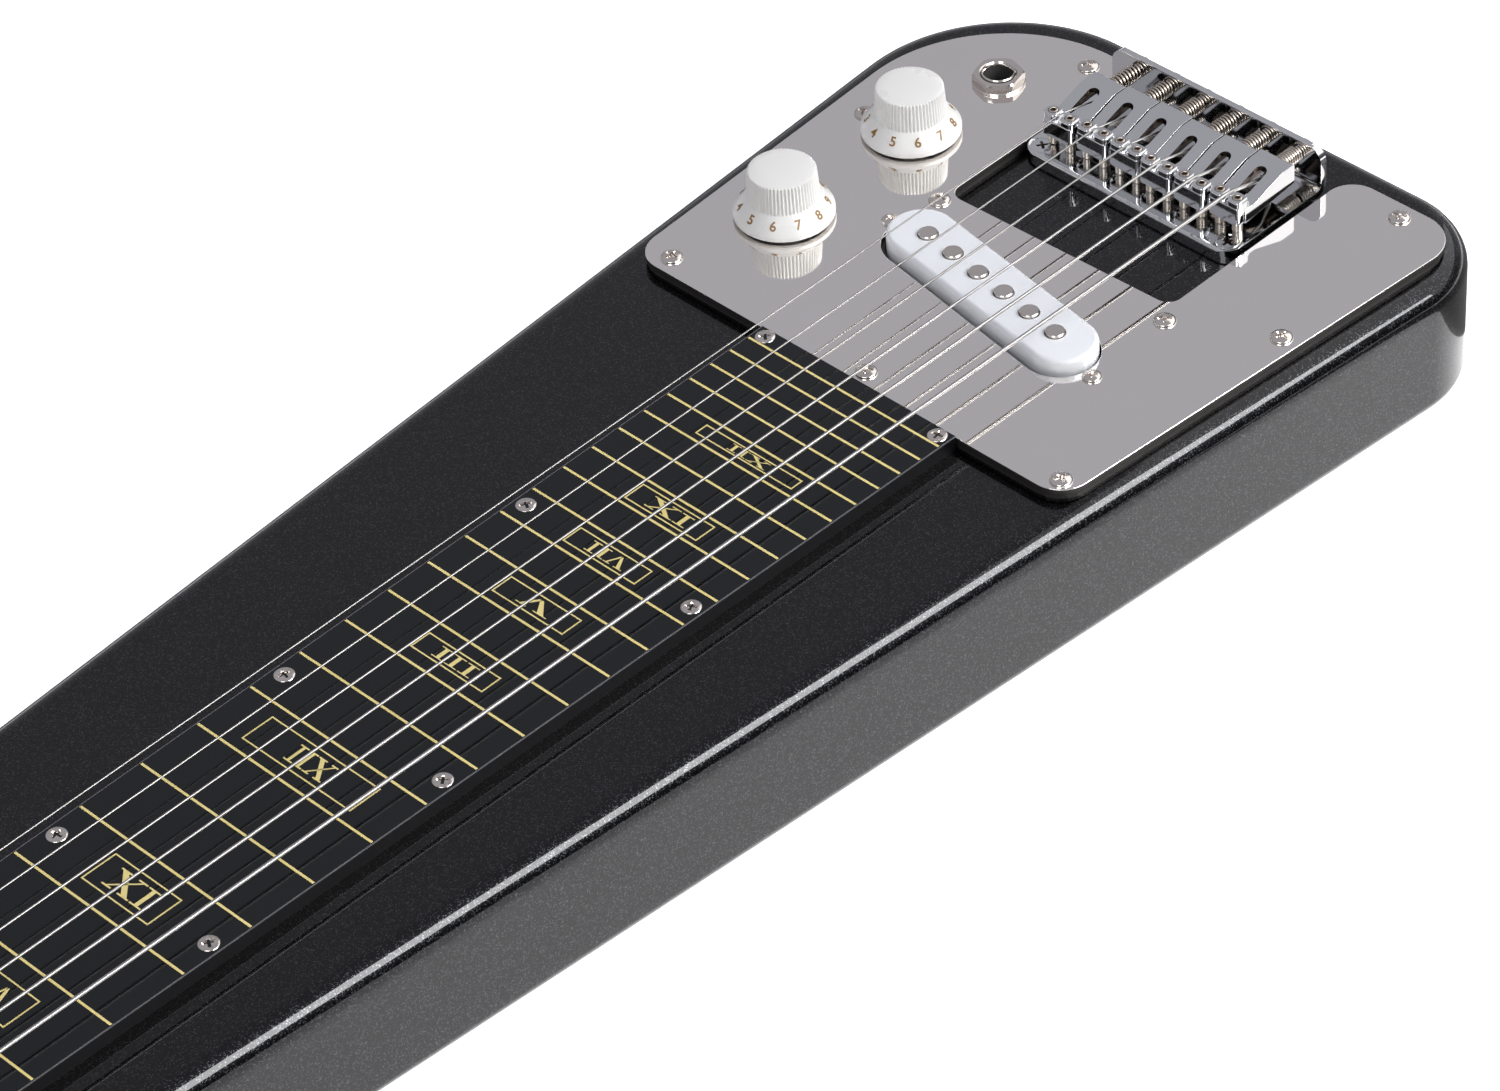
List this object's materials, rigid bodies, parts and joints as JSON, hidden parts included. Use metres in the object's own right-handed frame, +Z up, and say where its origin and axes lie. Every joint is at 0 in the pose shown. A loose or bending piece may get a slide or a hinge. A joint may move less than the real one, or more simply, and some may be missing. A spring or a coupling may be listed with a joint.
{
  "type": "lap steel guitar",
  "caption": "Slab-bodied electric lap steel guitar with a printed fretboard, polished control plate, pickup, knobs, output jack, adjustable bridge and geared tuners.",
  "frame": {"origin": "centre of the bounding box at the flat back of the body, which rests on the surface", "axes": "+X from the head towards the bridge, +Y towards the thin strings and the controls, +Z up"},
  "size_m": [0.772, 0.183, 0.0586],
  "materials": {
    "body_paint": "gloss black paint with a fine metallic flake",
    "fretboard_black": "gloss black with printed light gold lines",
    "polished_plate": "mirror polished plate",
    "backing_steel": "thin dark edge under the plate",
    "nickel": "warm bright nickel",
    "bridge_chrome": "bright chrome",
    "white_plastic": "white, lightly glossy",
    "coil_fibre": "dark matt fibre and wound coil",
    "control_steel": "plain plated steel",
    "string_steel": "bright string wire"
  },
  "bodies": {
    "instrument": {"body": "body_paint", "fretboard": "fretboard_black", "plate_backing": "backing_steel", "control_plate": "polished_plate", "nut": "bridge_chrome", "volume_pot": "control_steel", "tone_pot": "control_steel", "jack_socket": "nickel", "jack_nut": "nickel", "bridge_plate": "bridge_chrome", "bridge_screw_1": "bridge_chrome", "bridge_screw_2": "bridge_chrome", "string_anchor": "nickel", "tuner_strip_treble": "nickel", "tuner_strip_bass": "nickel", "string_1": "string_steel", "string_2": "string_steel", "string_3": "string_steel", "string_4": "string_steel", "string_5": "string_steel", "string_6": "string_steel", "intonation_spring_1": "nickel", "intonation_spring_2": "nickel", "intonation_spring_3": "nickel", "intonation_spring_4": "nickel", "intonation_spring_5": "nickel", "intonation_spring_6": "nickel"},
    "volume_control": {"volume_knob": "white_plastic", "volume_shaft": "control_steel"},
    "tone_control": {"tone_knob": "white_plastic", "tone_shaft": "control_steel"},
    "pickup": {"pickup_cover": "white_plastic", "pickup_bobbin": "coil_fibre", "pickup_poles": "nickel"},
    "pickup_height_screw_1": {"pickup_screw_1": "nickel"},
    "pickup_height_screw_2": {"pickup_screw_2": "nickel"},
    "saddle_1_unit": {"saddle_1": "bridge_chrome"},
    "intonation_1": {"intonation_screw_1": "nickel"},
    "saddle_2_unit": {"saddle_2": "bridge_chrome"},
    "intonation_2": {"intonation_screw_2": "nickel"},
    "saddle_3_unit": {"saddle_3": "bridge_chrome"},
    "intonation_3": {"intonation_screw_3": "nickel"},
    "saddle_4_unit": {"saddle_4": "bridge_chrome"},
    "intonation_4": {"intonation_screw_4": "nickel"},
    "saddle_5_unit": {"saddle_5": "bridge_chrome"},
    "intonation_5": {"intonation_screw_5": "nickel"},
    "saddle_6_unit": {"saddle_6": "bridge_chrome"},
    "intonation_6": {"intonation_screw_6": "nickel"},
    "tuner_1_button": {"tuner_button_1": "nickel"},
    "tuner_1_post": {"tuner_post_1": "nickel"},
    "tuner_2_button": {"tuner_button_2": "nickel"},
    "tuner_2_post": {"tuner_post_2": "nickel"},
    "tuner_3_button": {"tuner_button_3": "nickel"},
    "tuner_3_post": {"tuner_post_3": "nickel"},
    "tuner_4_button": {"tuner_button_4": "nickel"},
    "tuner_4_post": {"tuner_post_4": "nickel"},
    "tuner_5_button": {"tuner_button_5": "nickel"},
    "tuner_5_post": {"tuner_post_5": "nickel"},
    "tuner_6_button": {"tuner_button_6": "nickel"},
    "tuner_6_post": {"tuner_post_6": "nickel"}
  },
  "joints": [
    {"name": "volume_turn", "type": "hinge", "parent": "instrument", "child": "volume_control", "pos_m": [0.26625, 0.05638, 0.0449], "axis": [0, 0, 1], "range_deg": [-150, 150]},
    {"name": "tone_turn", "type": "hinge", "parent": "instrument", "child": "tone_control", "pos_m": [0.31415, 0.05568, 0.0449], "axis": [0, 0, 1], "range_deg": [-150, 150]},
    {"name": "pickup_screw_1_turn", "type": "hinge", "parent": "instrument", "child": "pickup_height_screw_1", "pos_m": [0.26833, -0.04975, 0.0434], "axis": [0, 0, -1], "range_deg": [-776, 776]},
    {"name": "pickup_screw_2_turn", "type": "hinge", "parent": "instrument", "child": "pickup_height_screw_2", "pos_m": [0.28216, 0.0329, 0.0434], "axis": [0, 0, -1], "range_deg": [-776, 776]},
    {"name": "pickup_height", "type": "slide", "parent": "instrument", "child": "pickup", "axis": [0, 0, 1], "range_m": [-0.0015, 0.0015]},
    {"name": "intonation_screw_1_turn", "type": "hinge", "parent": "instrument", "child": "intonation_1", "pos_m": [0.36695, 0.02053, 0.0514], "axis": [-1, 0, 0], "range_deg": [-1445, 1445]},
    {"name": "saddle_1_slide", "type": "slide", "parent": "instrument", "child": "saddle_1_unit", "axis": [1, 0, 0], "range_m": [-0.002, 0.002], "deforming": ["intonation_spring_1", "string_1"]},
    {"name": "intonation_screw_2_turn", "type": "hinge", "parent": "instrument", "child": "intonation_2", "pos_m": [0.36695, 0.00935, 0.0514], "axis": [-1, 0, 0], "range_deg": [-1445, 1445]},
    {"name": "saddle_2_slide", "type": "slide", "parent": "instrument", "child": "saddle_2_unit", "axis": [1, 0, 0], "range_m": [-0.002, 0.002], "deforming": ["intonation_spring_2", "string_2"]},
    {"name": "intonation_screw_3_turn", "type": "hinge", "parent": "instrument", "child": "intonation_3", "pos_m": [0.36695, -0.00183, 0.0514], "axis": [-1, 0, 0], "range_deg": [-1445, 1445]},
    {"name": "saddle_3_slide", "type": "slide", "parent": "instrument", "child": "saddle_3_unit", "axis": [1, 0, 0], "range_m": [-0.002, 0.002], "deforming": ["intonation_spring_3", "string_3"]},
    {"name": "intonation_screw_4_turn", "type": "hinge", "parent": "instrument", "child": "intonation_4", "pos_m": [0.36695, -0.01301, 0.0514], "axis": [-1, 0, 0], "range_deg": [-1445, 1445]},
    {"name": "saddle_4_slide", "type": "slide", "parent": "instrument", "child": "saddle_4_unit", "axis": [1, 0, 0], "range_m": [-0.002, 0.002], "deforming": ["intonation_spring_4", "string_4"]},
    {"name": "intonation_screw_5_turn", "type": "hinge", "parent": "instrument", "child": "intonation_5", "pos_m": [0.36695, -0.02419, 0.0514], "axis": [-1, 0, 0], "range_deg": [-1445, 1445]},
    {"name": "saddle_5_slide", "type": "slide", "parent": "instrument", "child": "saddle_5_unit", "axis": [1, 0, 0], "range_m": [-0.002, 0.002], "deforming": ["intonation_spring_5", "string_5"]},
    {"name": "intonation_screw_6_turn", "type": "hinge", "parent": "instrument", "child": "intonation_6", "pos_m": [0.36695, -0.03537, 0.0514], "axis": [-1, 0, 0], "range_deg": [-1445, 1445]},
    {"name": "saddle_6_slide", "type": "slide", "parent": "instrument", "child": "saddle_6_unit", "axis": [1, 0, 0], "range_m": [-0.002, 0.002], "deforming": ["intonation_spring_6", "string_6"]},
    {"name": "tuner_1_button_turn", "type": "hinge", "parent": "instrument", "child": "tuner_1_button", "pos_m": [-0.29335, 0.01458, 0.0109], "axis": [0, 1, 0], "continuous": true},
    {"name": "tuner_1_post_turn", "type": "hinge", "parent": "instrument", "child": "tuner_1_post", "pos_m": [-0.28405, 0.01458, 0.032], "axis": [0, 0, 1], "continuous": true, "deforming": ["string_1"]},
    {"name": "tuner_2_button_turn", "type": "hinge", "parent": "instrument", "child": "tuner_2_button", "pos_m": [-0.32935, 0.01458, 0.0109], "axis": [0, 1, 0], "continuous": true},
    {"name": "tuner_2_post_turn", "type": "hinge", "parent": "instrument", "child": "tuner_2_post", "pos_m": [-0.32005, 0.01458, 0.032], "axis": [0, 0, 1], "continuous": true, "deforming": ["string_2"]},
    {"name": "tuner_3_button_turn", "type": "hinge", "parent": "instrument", "child": "tuner_3_button", "pos_m": [-0.36535, 0.01458, 0.0109], "axis": [0, 1, 0], "continuous": true},
    {"name": "tuner_3_post_turn", "type": "hinge", "parent": "instrument", "child": "tuner_3_post", "pos_m": [-0.35605, 0.01458, 0.032], "axis": [0, 0, 1], "continuous": true, "deforming": ["string_3"]},
    {"name": "tuner_4_button_turn", "type": "hinge", "parent": "instrument", "child": "tuner_4_button", "pos_m": [-0.36535, -0.02942, 0.0109], "axis": [0, -1, 0], "continuous": true},
    {"name": "tuner_4_post_turn", "type": "hinge", "parent": "instrument", "child": "tuner_4_post", "pos_m": [-0.35605, -0.02942, 0.032], "axis": [0, 0, 1], "continuous": true, "deforming": ["string_4"]},
    {"name": "tuner_5_button_turn", "type": "hinge", "parent": "instrument", "child": "tuner_5_button", "pos_m": [-0.32935, -0.02942, 0.0109], "axis": [0, -1, 0], "continuous": true},
    {"name": "tuner_5_post_turn", "type": "hinge", "parent": "instrument", "child": "tuner_5_post", "pos_m": [-0.32005, -0.02942, 0.032], "axis": [0, 0, 1], "continuous": true, "deforming": ["string_5"]},
    {"name": "tuner_6_button_turn", "type": "hinge", "parent": "instrument", "child": "tuner_6_button", "pos_m": [-0.29335, -0.02942, 0.0109], "axis": [0, -1, 0], "continuous": true},
    {"name": "tuner_6_post_turn", "type": "hinge", "parent": "instrument", "child": "tuner_6_post", "pos_m": [-0.28405, -0.02942, 0.032], "axis": [0, 0, 1], "continuous": true, "deforming": ["string_6"]}
  ],
  "couplings": [
    {"joint": "pickup_screw_1_turn", "follows": "pickup_height", "rad_per_m": 8976},
    {"joint": "pickup_screw_2_turn", "follows": "pickup_height", "rad_per_m": 8976},
    {"joint": "intonation_screw_1_turn", "follows": "saddle_1_slide", "rad_per_m": 12566},
    {"joint": "intonation_screw_2_turn", "follows": "saddle_2_slide", "rad_per_m": 12566},
    {"joint": "intonation_screw_3_turn", "follows": "saddle_3_slide", "rad_per_m": 12566},
    {"joint": "intonation_screw_4_turn", "follows": "saddle_4_slide", "rad_per_m": 12566},
    {"joint": "intonation_screw_5_turn", "follows": "saddle_5_slide", "rad_per_m": 12566},
    {"joint": "intonation_screw_6_turn", "follows": "saddle_6_slide", "rad_per_m": 12566},
    {"joint": "tuner_1_post_turn", "follows": "tuner_1_button_turn", "ratio": 0.071429},
    {"joint": "tuner_2_post_turn", "follows": "tuner_2_button_turn", "ratio": 0.071429},
    {"joint": "tuner_3_post_turn", "follows": "tuner_3_button_turn", "ratio": 0.071429},
    {"joint": "tuner_4_post_turn", "follows": "tuner_4_button_turn", "ratio": -0.071429},
    {"joint": "tuner_5_post_turn", "follows": "tuner_5_button_turn", "ratio": -0.071429},
    {"joint": "tuner_6_post_turn", "follows": "tuner_6_button_turn", "ratio": -0.071429}
  ]
}
